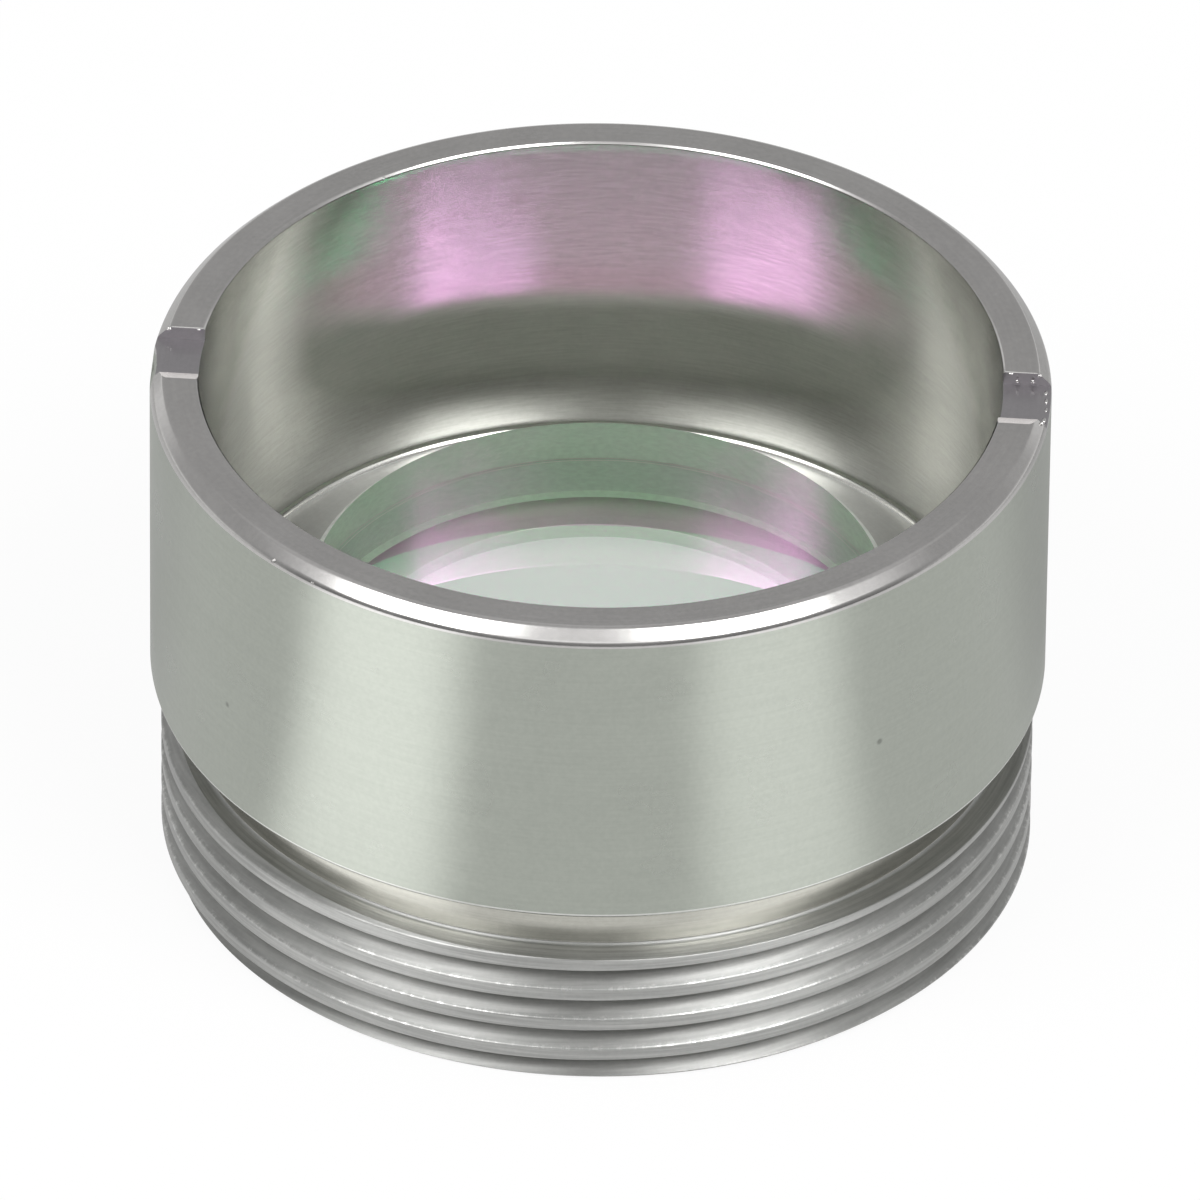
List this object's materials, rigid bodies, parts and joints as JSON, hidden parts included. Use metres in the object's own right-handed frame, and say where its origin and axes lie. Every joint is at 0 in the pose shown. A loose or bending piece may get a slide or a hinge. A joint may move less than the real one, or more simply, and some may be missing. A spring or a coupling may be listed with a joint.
{
  "type": "mounted achromatic doublet",
  "caption": "Cemented crown and flint lens bonded in a turned steel cell with a fine external thread, relief groove, bearing shoulder and spanner slots across the rim.",
  "frame": {"origin": "centre of the flat annular face at the thread end, on the optical axis", "axes": "+Z along the optical axis from the thread end to the slotted rim; X along the line through both spanner slots"},
  "size_m": [0.0122, 0.0122, 0.0076],
  "materials": {
    "cell_steel": "fine turned stainless steel, satin",
    "crown_glass": "polished and coated faces, ground edge",
    "flint_glass": "polished and coated faces, ground edge",
    "optical_cement": "clear cured adhesive",
    "edge_adhesive": "cured epoxy, slightly glossy"
  },
  "bodies": {
    "root": {"lens_cell": "cell_steel", "crown_element": "crown_glass", "flint_element": "flint_glass", "optical_cement": "optical_cement", "edge_bond": "edge_adhesive"}
  },
  "joints": []
}
